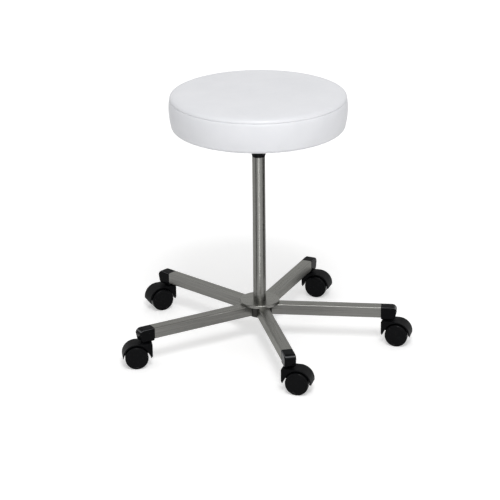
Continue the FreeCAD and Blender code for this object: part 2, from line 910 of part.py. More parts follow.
def make_wheel(index, side):
    """One wheel of a pair: rounded tread, dished face and a blind bore from the inner side."""
    direction = {"a": 1, "b": -1}[side]
    bore = axle_radius + size("running_gap")
    hub = size("wheel_hub_diameter") / 2
    edge = size("wheel_edge_round")
    width = size("wheel_width")
    recess = size("wheel_recess_depth")
    rim = wheel_radius - size("wheel_rim_wall")
    face = size("wheel_face_diameter") / 2
    step = size("wheel_face_step")
    bore_end = width - size("wheel_face_wall")
    inner_corner = (wheel_radius - edge / 2, edge / 2)
    outer_corner = (wheel_radius - edge, width - edge)
    body = turned(
        f"wheel_{index + 1}{side}",
        (bore, ZERO),
        (hub, ZERO),
        (hub, recess),
        (rim, recess),
        (rim, ZERO),
        (inner_corner[0], ZERO),
        (*arc_point(inner_corner, edge / 2, -HALF_RIGHT_ANGLE), wheel_radius, inner_corner[1]),
        (wheel_radius, outer_corner[1]),
        (*arc_point(outer_corner, edge, HALF_RIGHT_ANGLE), outer_corner[0], width),
        (face, width),
        (face - step, width - step),
        (ZERO, width - step),
        (ZERO, bore_end),
        (bore, bore_end),
    )
    place(body, axle_placement(index, direction, wheel_inner_face))


make_seat_cover()
make_seat_foam()
make_seat_board()
make_t_nuts()
make_seat_screws()
make_seat_carrier()
make_spindle()
make_guide_puck()
make_puck_screw()
make_column_tube()
make_spindle_nut()
make_hub_disc()
make_hub_core()
make_hub_cap()
for arm in range(ARM_COUNT):
    make_arm(arm)
    make_end_cap(arm)
    make_caster_stem(arm)
    make_caster_hood(arm)
    make_caster_axle(arm)
    make_wheel(arm, "a")
    make_wheel(arm, "b")
doc.recompute()

for item in doc.Objects:
    if "Invalid" in item.State or "Error" in item.State:
        raise RuntimeError(f"{item.Label} did not build: {item.State}")
for body in sub_parts:
    if body.Shape.isNull() or not body.Shape.isValid():
        raise RuntimeError(f"{body.Label} has no valid shape")

os.makedirs("parts", exist_ok=True)
for body in sub_parts:
    body.Shape.exportStep(os.path.join("parts", f"{body.Label}.step"))
print(f"{len(sub_parts)} sub-parts, {sum(len(body.Shape.Solids) for body in sub_parts)} solids")
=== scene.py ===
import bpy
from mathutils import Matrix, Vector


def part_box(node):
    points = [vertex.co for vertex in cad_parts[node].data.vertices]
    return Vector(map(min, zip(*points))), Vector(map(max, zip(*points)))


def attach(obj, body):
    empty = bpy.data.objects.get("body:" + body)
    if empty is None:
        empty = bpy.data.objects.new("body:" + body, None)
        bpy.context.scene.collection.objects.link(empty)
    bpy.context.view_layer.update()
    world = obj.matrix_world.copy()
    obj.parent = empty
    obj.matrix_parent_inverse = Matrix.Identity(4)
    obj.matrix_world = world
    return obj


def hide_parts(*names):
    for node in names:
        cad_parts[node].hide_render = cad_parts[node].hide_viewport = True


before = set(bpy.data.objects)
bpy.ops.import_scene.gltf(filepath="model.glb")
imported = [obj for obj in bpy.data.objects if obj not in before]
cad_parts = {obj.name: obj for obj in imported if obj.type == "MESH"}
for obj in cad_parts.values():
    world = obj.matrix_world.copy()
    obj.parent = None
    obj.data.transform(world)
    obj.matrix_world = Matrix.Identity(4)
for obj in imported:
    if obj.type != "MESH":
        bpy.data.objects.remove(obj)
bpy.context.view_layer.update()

import math

import bmesh
import bpy
import numpy as np
from mathutils import Matrix, Vector

# A rolling stool in a bright studio. Lengths are metres, and named angles are degrees.
# The origin is on the floor under the column, +Z is up and arm 1 points along -Y.
MILLIMETRE = 0.001
ARM_NUMBERS = (1, 2, 3, 4, 5)
ARM_PITCH = 72
FIRST_ARM_ANGLE = -90

# Camera, fitted to the base and the seat.
LENS = 146.46
SENSOR = 36
CAMERA_DISTANCE = 4.4053
CAMERA_ELEVATION = 20.583
CAMERA_AZIMUTH = -12.04
CAMERA_PAN = 0.264
CAMERA_TILT = 0.522
CAMERA_ROLL = -0.47
AIM_HEIGHT = 0.25

# Studio: a floor that is lifted to white away from the stool, three soft boxes,
# and cards that show only as bands on the column.
WHITE = (1, 1, 1, 1)
MATT = 0.9
FLOOR_SIZE = 40
FLOOR_COLOUR = (0.86, 0.86, 0.86)
FLOOR_NEAR = 0.35
FLOOR_FAR = 1.2
FLOOR_NEAR_LIFT = 0.37
FLOOR_FAR_LIFT = 0.56
FLOOR_MIRRORED_LIFT = 0.3
WORLD_LIGHT = 0.5
LAMP_AIM = (0, 0, 0.4)
KEY_PLACE = (-0.25, -2.1, 3.1)
KEY_SIZE = 0.9
KEY_POWER = 45
FILL_PLACE = (-0.1, -3.6, 1.9)
FILL_SIZE = 2.0
FILL_POWER = 26.5
BACK_PLACE = (0.9, 3.6, 1.7)
BACK_SIZE = 2.4
BACK_POWER = 20
CARD_DISTANCE = 0.12
CARD_LOW = 0.1
CARD_HIGH = 0.42
CARD_COLOUR = (0.25, 0.25, 0.25)
CARDS = {
    "left_card": {"angle": -151.6, "width": 0.045, "glow": 0},
    "right_card": {"angle": -15.8, "width": 0.087, "glow": 0},
    "front_card": {"angle": -99.6, "width": 0.012, "glow": 7},
}

# Cushion: its section.
SEAT_LOW, SEAT_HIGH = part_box("seat_cover")
SEAT_RADIUS = 190 * MILLIMETRE
SEAT_HEIGHT = SEAT_HIGH.z - SEAT_LOW.z
CROWN = 2.2 * MILLIMETRE
SHOULDER_ROUND = 13 * MILLIMETRE
SHOULDER_INSET = 1 * MILLIMETRE
BAND_BULGE_HEIGHT = 42 * MILLIMETRE
SIDE_DRAW = 4 * MILLIMETRE
LOWER_ROUND = 10 * MILLIMETRE
FOLD_RADIUS = 148 * MILLIMETRE
COVER_THICKNESS = 2 * MILLIMETRE
BOARD_GAP = 0.2 * MILLIMETRE
LINING_STEP = 1 * MILLIMETRE
CROWN_STEPS = 40
ARC_STEPS = 12
BAND_STEPS = 24
NORMAL_REACH = 1.5 * MILLIMETRE
LEAST_LENGTH = 1e-9

# Cushion: its top seam and the join at the back of its side band.
SEAM_ANGLE = 9
SEAM_DEPTH = 0.8 * MILLIMETRE
SEAM_HALF_WIDTH = 0.8 * MILLIMETRE
BAND_ROLL_DEPTH = 1.5 * MILLIMETRE
BAND_ROLL_HEIGHT = 3.5 * MILLIMETRE
TOP_ROLL_HEIGHT = 1.5 * MILLIMETRE
BACK_JOIN_ANGLE = 90
BACK_JOIN_DEPTH = 0.8 * MILLIMETRE
BACK_JOIN_HALF_WIDTH = 0.9 * MILLIMETRE

# Cushion: small gathers below the seam and at the lower edge, and pleats under the board.
GATHER_RISE = 3 * MILLIMETRE
GATHER_FADE = 12 * MILLIMETRE
GATHER_DEPTH = 0.25 * MILLIMETRE
GATHER_SEED = 11
GATHER_COUNTS = (30, 80)
EDGE_LEAD = 12 * MILLIMETRE
EDGE_RISE = 20 * MILLIMETRE
EDGE_DEPTH = 0.22 * MILLIMETRE
PLEAT_RISE = 10 * MILLIMETRE
PLEAT_DEPTH = 0.35 * MILLIMETRE
PLEAT_SEED = 5
PLEAT_COUNTS = (34, 92)
WAVES_SUMMED = 14
PATCH_MEAN = 0.6
PATCH_SWING = 0.4
PATCH_COUNTS = (3, 5)
PATCH_PHASE = 2

# Cushion: the swelling of its cover, and the rows and columns of its mesh.
SIM_ROWS = 44
SIM_COLUMNS = 96
SIM_FRAMES = 20
SIM_CAP = 3 * MILLIMETRE
SIM_SHRINK = 1 * MILLIMETRE
SIM_SHARE = 0.25
SIM_WAVES = 7
SIM_SEAM_HOLD = 2 * MILLIMETRE
CLOTH_SETTINGS = {
    "quality": 6,
    "mass": 0.4,
    "tension_stiffness": 40,
    "compression_stiffness": 40,
    "shear_stiffness": 20,
    "bending_stiffness": 2,
    "use_pressure": True,
    "uniform_pressure_force": 4,
    "vertex_group_mass": "held",
}
COLUMNS = 312
TOP_ROWS = 20
BAND_ROWS = 12
EDGE_ROWS = 9
FOLD_ROWS = 12
SEAM_ROW_DISTANCES = np.array([0.35, 0.8, 1.4, 2.2, 3.3, 4.6, 6.4, 9]) * MILLIMETRE
JOIN_COLUMN_DISTANCES = np.array([0.5, 1.1, 2, 3.2]) * MILLIMETRE
JOIN_CLEARING = 1.3

# Staples that hold the cover's fold to the board. The path gives shares of a staple's length,
# and how far the wire rises there as a share of its radius.
STAPLE_COUNT = 44
STAPLE_RING = 158 * MILLIMETRE
STAPLE_LENGTH = 10 * MILLIMETRE
STAPLE_WIRE = 0.55 * MILLIMETRE
STAPLE_SINK = 0.3
STAPLE_SIDES = 8
STAPLE_PATH = ((-0.5, 1), (-0.42, 0), (0.42, 0), (0.5, 1))
STAPLE_PRESS_WIDTH = 6 * MILLIMETRE

# Thread of the lift spindle: right-handed, two starts. The run-in keeps the thread's points
# off the planes that cut its ends.
THREAD_LEAD = 8 * MILLIMETRE
THREAD_STARTS = 2
THREAD_RADIUS = 8 * MILLIMETRE
THREAD_ROOT_RADIUS = 6.3 * MILLIMETRE
THREAD_SHARES = (0, 0.34, 0.5, 0.84)
THREAD_COLUMNS = 40
THREAD_RUN_IN = 16.07 * MILLIMETRE
THREAD_CREASE = 30
SPINDLE_TIP_RADIUS = 5 * MILLIMETRE
SPINDLE_END_RADIUS = 7.95 * MILLIMETRE
PUCK_GAP = 0.3 * MILLIMETRE
SOCKET_DEPTH = 2 * MILLIMETRE
END_OVERLAP = 1 * MILLIMETRE

# Noise values lie mostly between these two.
NOISE_LOW = 0.3
NOISE_HIGH = 0.7

# White vinyl.
VINYL_COLOUR = (0.775, 0.782, 0.81)
VINYL_DARKER = (0.76, 0.768, 0.796)
VINYL_LIGHTER = (0.79, 0.796, 0.824)
VINYL_ROUGHNESS = 0.42
VINYL_SMOOTHEST = 0.34
VINYL_ROUGHEST = 0.44
VINYL_GLOSS_SIZE = 12 * MILLIMETRE
VINYL_CLOUD_SIZE = 60 * MILLIMETRE
VINYL_WAVE_SIZE = 30 * MILLIMETRE
VINYL_WAVE_DEPTH = 0.3 * MILLIMETRE
VINYL_WAVE_STRENGTH = 0.3
PEBBLE_SIZE = 1.1 * MILLIMETRE
PEBBLE_DEPTH = 0.06 * MILLIMETRE
PEBBLE_STRENGTH = 0.4

# Satin stainless steel. Grains are sizes along X, Y and Z.
COLUMN_COLOUR = (0.20, 0.199, 0.188)
COLUMN_RELIEF = 0.012 * MILLIMETRE
COLUMN_CONTRAST = 0.04
ARM_COLOUR = (0.19, 0.189, 0.179)
DISC_COLOUR = (0.21, 0.209, 0.198)
# Painted shade: the hub core's steel colour is darkened far below the other steel, for the shade under
# the disc.
SHADED_CORE_COLOUR = (0.04, 0.039, 0.037)
STEEL_RELIEF = 0.022 * MILLIMETRE
STEEL_CONTRAST = 0.16
STEEL_EDGE_TINT = (0.7, 0.7, 0.68, 1)
STEEL_ROUGHNESS = 0.30
STEEL_SMOOTHEST = 0.25
STEEL_ROUGHEST = 0.37
STREAK_DETAIL = 4
BAND_SCALE = 5
BAND_DETAIL = 2
STREAKS_AND_BANDS_LOW = 0.75
STREAKS_AND_BANDS_HIGH = 1.25
GRAIN_AROUND_Z = (20 * MILLIMETRE, 20 * MILLIMETRE, 0.4 * MILLIMETRE)
GRAIN_ALONG_Z = (0.4 * MILLIMETRE, 0.4 * MILLIMETRE, 60 * MILLIMETRE)
GRAIN_ALONG_X = (50 * MILLIMETRE, 0.4 * MILLIMETRE, 0.4 * MILLIMETRE)

# Black plastic and paint. A pair gives the heights of a face's unit normal between which the painted
# highlight and the scuffing each set in or fade.
BLACK = (0.002, 0.0021, 0.0025)
# Lighter grey of the painted highlight on rounded upper edges.
HIGHLIGHT_GREY = (0.11, 0.112, 0.116)
BLOOM_SIZE = 8 * MILLIMETRE
BLOOM_LIFT = 1.5
BLOOM_ROUGHNESS = 0.05
HIGHLIGHT_STARTS = (0.52, 0.64)
HIGHLIGHT_ENDS = (0.70, 0.82)
SCUFF_STARTS = (0.75, 0.97)
PLASTIC_EDGE_ROUND = 0.5 * MILLIMETRE
PLASTIC_EDGE_SAMPLES = 4
SPARK_DETAIL = 2
SPARK_DEPTH = 0.03 * MILLIMETRE

# Plated steel and plywood.
ZINC_COLOUR = (0.44, 0.44, 0.43)
ZINC_ROUGHNESS = 0.38
SPINDLE_COLOUR = (0.42, 0.42, 0.41)
SPINDLE_ROUGHNESS = 0.3
MOTTLE_SIZE = 2 * MILLIMETRE
MOTTLE_ROUGHNESS = 0.08
MOTTLE_DEPTH = 0.02 * MILLIMETRE
MOTTLE_STRENGTH = 0.3
PLYWOOD_COLOUR = (0.60, 0.44, 0.27)
PLYWOOD_DARKER = (0.47, 0.32, 0.18)
PLYWOOD_LIGHTER = (0.68, 0.52, 0.34)
PLYWOOD_ROUGHNESS = 0.6
PLYWOOD_GRAIN = (50 * MILLIMETRE, 1.2 * MILLIMETRE, 1.4 * MILLIMETRE)
PLYWOOD_DETAIL = 5
PLYWOOD_DEPTH = 0.1 * MILLIMETRE
PLYWOOD_STRENGTH = 0.5


# Pieces
def new_mesh(name, vertices, faces):
    mesh = bpy.data.meshes.new(name)
    mesh.from_pydata([tuple(map(float, point)) for point in vertices], [], faces)
    return mesh


def new_object(name, data):
    made = bpy.data.objects.new(name, data)
    bpy.context.scene.collection.objects.link(made)
    return made


def new_piece(name, mesh, material, body, crease=180):
    """A smooth piece in the part's own frame that rides on a body, creased past an angle."""
    mesh.polygons.foreach_set("use_smooth", [True] * len(mesh.polygons))
    mesh.set_sharp_from_angle(angle=math.radians(crease))
    mesh.materials.append(material)
    piece = new_object(name, mesh)
    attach(piece, body)
    return piece


# Materials
def connect(tree, value, socket):
    """Links a socket to another node's output, or gives it a number or colour."""
    if isinstance(value, bpy.types.NodeSocket):
        tree.links.new(value, socket)
    else:
        socket.default_value = value


def even_grain(size):
    return (size, size, size)


class Finish:
    """A material that is built from nodes round one Principled shader."""

    def __init__(self, name, colour, roughness, metallic=0.0):
        self.material = bpy.data.materials.new(name)
        self.material.use_nodes = True
        self.tree = self.material.node_tree
        self.shader = self.tree.nodes["Principled BSDF"]
        self.set("Base Color", (*colour, 1))
        self.set("Roughness", roughness)
        self.set("Metallic", metallic)

    def set(self, socket, value):
        """Gives one of the shader's sockets a number, or links it to another node's output."""
        self.connect(value, self.shader.inputs[socket])

    def connect(self, value, socket):
        connect(self.tree, value, socket)

    def node(self, kind, inputs, **settings):
        made = self.tree.nodes.new(kind)
        for key, value in settings.items():
            setattr(made, key, value)
        for key, value in inputs.items():
            self.connect(value, made.inputs[key])
        return made

    def maths(self, operation, first, second):
        return self.node("ShaderNodeMath", {0: first, 1: second}, operation=operation).outputs[0]

    def position(self, grain, turn=0.0):
        """The place on the piece in units of one grain, whose sizes are given along X, Y and Z."""
        place = self.node("ShaderNodeTexCoord", {}).outputs["Object"]
        inputs = {"Vector": place, "Rotation": (0, 0, math.radians(turn)), "Scale": grain}
        return self.node("ShaderNodeMapping", inputs, vector_type="TEXTURE").outputs["Vector"]

    def noise(self, grain, detail=3.0, turn=0.0):
        inputs = {"Vector": self.position(grain, turn), "Scale": 1.0, "Detail": detail}
        return self.node("ShaderNodeTexNoise", inputs).outputs["Fac"]

    def ramp(self, value, start, end, low, high, course="LINEAR"):
        """A value that goes from low at the start to high at the end."""
        inputs = {"Value": value, "From Min": start, "From Max": end, "To Min": low, "To Max": high}
        return self.node("ShaderNodeMapRange", inputs, interpolation_type=course).outputs["Result"]

    def spread(self, noise, low, high):
        """A noise value, spread from low to high."""
        return self.ramp(noise, NOISE_LOW, NOISE_HIGH, low, high)

    def colours(self, value, first, second):
        """A blend of two colours, from first where the value is 0 to second where it is 1."""
        if not isinstance(first, bpy.types.NodeSocket):
            first = (*first, 1)
        inputs = {"Factor": value, "A": first, "B": (*second, 1)}
        made = self.tree.nodes.new("ShaderNodeMix")
        made.data_type = "RGBA"
        for socket in made.inputs:
            if socket.enabled and socket.name in inputs:
                self.connect(inputs[socket.name], socket)
        return next(socket for socket in made.outputs if socket.enabled)

    def bump(self, height, distance, strength=1.0, below=None):
        """A normal for a relief, on top of another normal if one is given."""
        inputs = {"Height": height, "Distance": distance, "Strength": strength}
        if below is not None:
            inputs["Normal"] = below
        return self.node("ShaderNodeBump", inputs).outputs["Normal"]

    def show_front_only(self):
        """Leaves the back of each face clear."""
        back = self.node("ShaderNodeNewGeometry", {}).outputs["Backfacing"]
        clear = self.node("ShaderNodeBsdfTransparent", {}).outputs["BSDF"]
        both = self.node("ShaderNodeMixShader", {0: back, 1: self.shader.outputs["BSDF"], 2: clear})
        self.connect(both.outputs["Shader"], self.tree.nodes["Material Output"].inputs["Surface"])


def vinyl():
    """White upholstery vinyl: a fine pebbled grain, slightly cloudy, with a soft gloss."""
    finish = Finish("white_vinyl", VINYL_COLOUR, VINYL_ROUGHNESS)
    cells = finish.node("ShaderNodeTexVoronoi", {
        "Vector": finish.position(even_grain(PEBBLE_SIZE)), "Scale": 1.0,
    }, feature="SMOOTH_F1").outputs["Distance"]
    cloud = finish.noise(even_grain(VINYL_CLOUD_SIZE))
    wave = finish.noise(even_grain(VINYL_WAVE_SIZE))
    gloss = finish.noise(even_grain(VINYL_GLOSS_SIZE))
    waved = finish.bump(wave, VINYL_WAVE_DEPTH, VINYL_WAVE_STRENGTH)
    finish.set("Normal", finish.bump(cells, PEBBLE_DEPTH, PEBBLE_STRENGTH, waved))
    finish.set("Base Color", finish.colours(finish.spread(cloud, 0, 1), VINYL_DARKER, VINYL_LIGHTER))
    finish.set("Roughness", finish.spread(gloss, VINYL_SMOOTHEST, VINYL_ROUGHEST))
    return finish.material


def stainless(name, colour, grain, turn=0.0, relief=STEEL_RELIEF, contrast=STEEL_CONTRAST):
    """Satin stainless steel with brush lines along the grain's long side, fine ones in wider bands."""
    finish = Finish(name, colour, STEEL_ROUGHNESS, metallic=1.0)
    finish.set("Specular Tint", STEEL_EDGE_TINT)
    streaks = finish.noise(grain, STREAK_DETAIL, turn)
    bands = finish.noise(tuple(BAND_SCALE * side for side in grain), BAND_DETAIL, turn)
    both = finish.maths("ADD", streaks, bands)
    shade = finish.ramp(both, STREAKS_AND_BANDS_LOW, STREAKS_AND_BANDS_HIGH, 0, 1)
    darker = tuple((1 - contrast) * channel for channel in colour)
    lighter = tuple((1 + contrast) * channel for channel in colour)
    finish.set("Roughness", finish.spread(streaks, STEEL_SMOOTHEST, STEEL_ROUGHEST))
    finish.set("Base Color", finish.colours(shade, darker, lighter))
    finish.set("Normal", finish.bump(streaks, relief))
    return finish.material


def textured_black(name, roughness, texture, gloss, relief=0.5, scuff=0.0, painted_highlight=0.0):
    """Black plastic or paint with a fine spark-eroded texture and a faint bloom.

    Where asked, upper faces are scuffed dull, and the rounded edges below them are blended to a lighter
    grey as a painted highlight.
    """
    finish = Finish(name, BLACK, roughness)
    finish.set("Specular IOR Level", gloss)
    spark = finish.noise(even_grain(texture), SPARK_DETAIL)
    bloom = finish.noise(even_grain(BLOOM_SIZE))
    lighter = tuple(BLOOM_LIFT * channel for channel in BLACK)
    colour = finish.colours(finish.spread(bloom, 0, 1), BLACK, lighter)
    dullness = finish.spread(bloom, roughness - BLOOM_ROUGHNESS, roughness + BLOOM_ROUGHNESS)
    facing = finish.node("ShaderNodeNewGeometry", {}).outputs["Normal"]
    up = finish.node("ShaderNodeSeparateXYZ", {"Vector": facing}).outputs["Z"]
    # Painted highlight: where the normal's height lies in the band of the rounded upper edges, the colour
    # is blended to a lighter grey.
    if painted_highlight:
        highlight_band = finish.maths("MULTIPLY", finish.ramp(up, *HIGHLIGHT_STARTS, 0, painted_highlight),
                              finish.ramp(up, *HIGHLIGHT_ENDS, 1, 0))
        colour = finish.colours(highlight_band, colour, HIGHLIGHT_GREY)
    if scuff:
        dullness = finish.maths("ADD", dullness, finish.ramp(up, *SCUFF_STARTS, 0, scuff))
    rounded = finish.node("ShaderNodeBevel", {"Radius": PLASTIC_EDGE_ROUND},
                          samples=PLASTIC_EDGE_SAMPLES).outputs["Normal"]
    finish.set("Base Color", colour)
    finish.set("Roughness", dullness)
    finish.set("Normal", finish.bump(spark, SPARK_DEPTH, relief, rounded))
    return finish.material


def plain_steel(name, colour, roughness):
    """Plated steel of pins and screws, faintly mottled."""
    finish = Finish(name, colour, roughness, metallic=1.0)
    mottle = finish.noise(even_grain(MOTTLE_SIZE))
    smoothest = roughness - MOTTLE_ROUGHNESS
    roughest = roughness + MOTTLE_ROUGHNESS
    finish.set("Roughness", finish.spread(mottle, smoothest, roughest))
    finish.set("Normal", finish.bump(mottle, MOTTLE_DEPTH, MOTTLE_STRENGTH))
    return finish.material


def plywood():
    """Birch plywood: long grain on the faces and thin plies at the edge."""
    finish = Finish("plywood", PLYWOOD_COLOUR, PLYWOOD_ROUGHNESS)
    grain = finish.noise(PLYWOOD_GRAIN, PLYWOOD_DETAIL)
    shade = finish.spread(grain, 0, 1)
    finish.set("Base Color", finish.colours(shade, PLYWOOD_DARKER, PLYWOOD_LIGHTER))
    finish.set("Normal", finish.bump(grain, PLYWOOD_DEPTH, PLYWOOD_STRENGTH))
    return finish.material


def dress_nodes(zinc, spindle_steel):
    """Gives the CAD nodes their finishes."""
    # The caps get the painted highlight along their rounded upper edges.
    cap = textured_black("black_plastic", roughness=0.16, texture=0.35 * MILLIMETRE, gloss=0.045,
                         relief=0.15, scuff=0.4, painted_highlight=1.0)
    hood = textured_black("caster_plastic", roughness=0.48, texture=0.30 * MILLIMETRE, gloss=0.05,
                          scuff=0.1)
    wheel = textured_black("wheel_plastic", roughness=0.24, texture=0.25 * MILLIMETRE, gloss=0.07,
                           relief=0.05)
    black_steel = textured_black("black_steel", roughness=0.3, texture=0.5 * MILLIMETRE, gloss=0.1)
    casting = textured_black("black_casting", roughness=0.45, texture=0.6 * MILLIMETRE, gloss=0.08)
    finishes = {
        "seat_board": plywood(),
        "t_nuts": zinc,
        "seat_screws": zinc,
        "seat_carrier": casting,
        "spindle": spindle_steel,
        "guide_puck": cap,
        "puck_screw": zinc,
        "column_tube": stainless("stainless_column", COLUMN_COLOUR, GRAIN_AROUND_Z,
                                 relief=COLUMN_RELIEF, contrast=COLUMN_CONTRAST),
        "spindle_nut": cap,
        "hub_disc": stainless("stainless_disc", DISC_COLOUR, GRAIN_ALONG_X),
        # The hub core's much darker colour is painted shade under the disc.
        "hub_core": stainless("stainless_core_shaded", SHADED_CORE_COLOUR, GRAIN_ALONG_Z),
        "hub_cap": cap,
    }
    for number in ARM_NUMBERS:
        angle = FIRST_ARM_ANGLE + (number - 1) * ARM_PITCH
        finishes[f"arm_{number}"] = stainless(f"stainless_arm_{number}", ARM_COLOUR, GRAIN_ALONG_X, angle)
        finishes[f"end_cap_{number}"] = cap
        finishes[f"caster_stem_{number}"] = black_steel
        finishes[f"caster_hood_{number}"] = hood
        finishes[f"caster_axle_{number}"] = zinc
        finishes[f"wheel_{number}a"] = wheel
        finishes[f"wheel_{number}b"] = wheel
    for name, material in finishes.items():
        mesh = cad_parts[name].data
        mesh.materials.clear()
        mesh.materials.append(material)


# Cushion
def arc(centre, radius, first, last):
    """Points of an arc in the plane of radius and height."""
    angles = np.radians(np.linspace(first, last, ARC_STEPS))
    return np.column_stack([centre[0] + radius * np.cos(angles), centre[1] + radius * np.sin(angles)])


def curve_through(start, middle, end):
    """Points of a flat curve through three points of the section, evenly spaced in height."""
    heights = np.linspace(start[1], end[1], BAND_STEPS)
    curve = np.polyfit([start[1], middle[1], end[1]], [start[0], middle[0], end[0]], 2)
    return np.column_stack([np.polyval(curve, heights), heights])


class Profile:
    """The cushion's half section from the middle of its top to the fold under the board, by length."""

    def __init__(self):
        rim = SEAT_HEIGHT - CROWN
        shoulder = (SEAT_RADIUS - SHOULDER_INSET - SHOULDER_ROUND, rim - SHOULDER_ROUND)
        low = (SEAT_RADIUS - SIDE_DRAW - LOWER_ROUND, LOWER_ROUND)
        radii = np.linspace(0, shoulder[0], CROWN_STEPS)
        top = np.column_stack([radii, SEAT_HEIGHT - CROWN * (radii / shoulder[0]) ** 2])
        curve = arc(shoulder, SHOULDER_ROUND, 90, 0)
        bulge = (SEAT_RADIUS, BAND_BULGE_HEIGHT)
        band = curve_through(curve[-1], bulge, (low[0] + LOWER_ROUND, low[1]))
        hem = arc(low, LOWER_ROUND, 0, -90)
        fold = [(FOLD_RADIUS, 0), (FOLD_RADIUS, COVER_THICKNESS)]
        self.points = np.vstack([top, curve[1:], band[1:], hem[1:], fold])
        steps = np.linalg.norm(np.diff(self.points, axis=0), axis=1)
        self.lengths = np.concatenate([[0], np.cumsum(steps)])
        self.total = self.lengths[-1]
        seam = arc(shoulder, SHOULDER_ROUND, 90, SEAM_ANGLE)[-1]
        self.seam = self.length_at(seam)
        self.hem_start = self.length_at(hem[0])
        self.hem_end = self.length_at(hem[-1])
        self.fold_end = self.length_at(fold[0])
        self.staples = self.hem_end + low[0] - STAPLE_RING

    def length_at(self, point):
        """The length along the section at its corner nearest to a point."""
        return self.lengths[np.argmin(np.linalg.norm(self.points - np.array(point), axis=1))]

    def at(self, length):
        """Radius and height at a length along the section."""
        radius = np.interp(length, self.lengths, self.points[:, 0])
        height = np.interp(length, self.lengths, self.points[:, 1])
        return radius, height

    def outward(self, length):
        """The outward normal, as shares of radius and height."""
        r0, h0 = self.at(np.maximum(length - NORMAL_REACH, 0))
        r1, h1 = self.at(np.minimum(length + NORMAL_REACH, self.total))
        tangent = np.stack([r1 - r0, h1 - h0])
        tangent = tangent / np.maximum(np.linalg.norm(tangent, axis=0), LEAST_LENGTH)
        return -tangent[1], tangent[0]


def ring_faces(rings, columns, closed=False):
    """Faces of a round skin from a middle point over its rings, and to a last point if it is closed."""
    faces = []
    rim = 1 + (rings - 1) * columns
    for column in range(columns):
        after = (column + 1) % columns
        faces.append((0, 1 + column, 1 + after))
        for ring in range(rings - 1):
            a = 1 + ring * columns
            b = a + columns
            faces.append((a + column, b + column, b + after, a + after))
        if closed:
            faces.append((rim + column, rim + columns, rim + after))
    return faces


def skin_points(profile, lengths, angles, push):
    """The skin's points: the middle one, then one ring for each length, pushed out along the normal."""
    radius, height = profile.at(lengths)
    out_radius, out_height = profile.outward(lengths)
    r = radius[:, None] + out_radius[:, None] * push
    z = height[:, None] + out_height[:, None] * push
    ring = np.stack([r * np.cos(angles), r * np.sin(angles), z + SEAT_LOW.z], axis=-1)
    return np.vstack([ring[0].mean(axis=0)[None], ring[1:].reshape(-1, 3)])


def even_angles(count):
    return np.arange(count) * 2 * math.pi / count


def hold_cover(cover, profile, lengths):
    """Holds the cover's points at the seam and under the board while it swells."""
    held = cover.vertex_groups.new(name="held")
    for row, length in enumerate(lengths[1:]):
        near_seam = abs(length - profile.seam) < SIM_SEAM_HOLD
        under = length > profile.hem_end
        if near_seam or under:
            first = 1 + row * SIM_COLUMNS
            held.add(list(range(first, first + SIM_COLUMNS)), 1.0, "REPLACE")


def swell_cover(cover):
    """The cover's points after air pressure has swollen it for some frames."""
    cloth = cover.modifiers.new("cloth", "CLOTH")
    for key, value in CLOTH_SETTINGS.items():
        setattr(cloth.settings, key, value)
    cloth.settings.effector_weights.gravity = 0
    cloth.point_cache.frame_start = 1
    cloth.point_cache.frame_end = SIM_FRAMES
    scene = bpy.context.scene
    for step in range(1, SIM_FRAMES + 1):
        scene.frame_set(step)
    swollen = cover.evaluated_get(bpy.context.evaluated_depsgraph_get()).to_mesh()
    points = np.array([vertex.co for vertex in swollen.vertices])
    scene.frame_set(1)
    return points


def simulate_skin(profile, lengths):
    """Swells a slightly small cover and gives each point's move along the normal, without short waves."""
    around = even_angles(SIM_COLUMNS)
    push = np.full((len(lengths), SIM_COLUMNS), -SIM_SHRINK)
    start = skin_points(profile, lengths, around, push)
    mesh = new_mesh("swelling_cover", start, ring_faces(len(lengths) - 1, SIM_COLUMNS))
    cover = new_object("swelling_cover", mesh)
    hold_cover(cover, profile, lengths)
    moved = swell_cover(cover) - start
    bpy.data.objects.remove(cover)
    out_radius, out_height = profile.outward(lengths)
    rings = moved[1:].reshape(len(lengths) - 1, SIM_COLUMNS, 3)
    outward = rings[..., 0] * np.cos(around) + rings[..., 1] * np.sin(around)
    along = outward * out_radius[1:, None] + rings[..., 2] * out_height[1:, None]
    along = np.vstack([np.full(SIM_COLUMNS, moved[0, 2]), along])
    swell = np.clip(along, -SIM_CAP, SIM_CAP)
    waves = np.fft.rfft(swell, axis=1)
    waves[:, SIM_WAVES:] = 0
    return SIM_SHARE * np.fft.irfft(waves, SIM_COLUMNS, axis=1)


def bell(distance, width):
    return np.exp(-(distance / width) ** 2)


def smooth_step(value):
    share = np.clip(value, 0, 1)
    return share * share * (3 - 2 * share)


def uneven_waves(angles, seed, counts):
    """A wavy line round the cushion, of many waves of different lengths, stronger in patches."""
    random = np.random.default_rng(seed)
    waves = np.zeros_like(angles)
    for count in random.integers(*counts, WAVES_SUMMED):
        waves += random.normal() * np.cos(count * angles + random.uniform(0, 2 * math.pi))
    swing = np.cos(PATCH_COUNTS[0] * angles + seed) * np.cos(PATCH_COUNTS[1] * angles + PATCH_PHASE)
    return waves / waves.std() * (PATCH_MEAN + PATCH_SWING * swing)


def puckers(profile, lengths, angles):
    """Small gathers below the seam and round the lower edge, and pleats under the board."""
    below = lengths - profile.seam
    gather = np.where(below > 0, smooth_step(below / GATHER_RISE) * np.exp(-below / GATHER_FADE), 0)
    edge = smooth_step((lengths - profile.hem_start + EDGE_LEAD) / EDGE_RISE)
    under = np.clip((lengths - profile.hem_end) / PLEAT_RISE, 0, 1)
    hem = edge * EDGE_DEPTH + under * PLEAT_DEPTH
    hem = hem * (1 - bell(lengths - profile.staples, STAPLE_PRESS_WIDTH))
    gathers = GATHER_DEPTH * gather[:, None] * uneven_waves(angles, GATHER_SEED, GATHER_COUNTS)[None, :]
    pleats = hem[:, None] * uneven_waves(angles, PLEAT_SEED, PLEAT_COUNTS)[None, :]
    return gathers + pleats


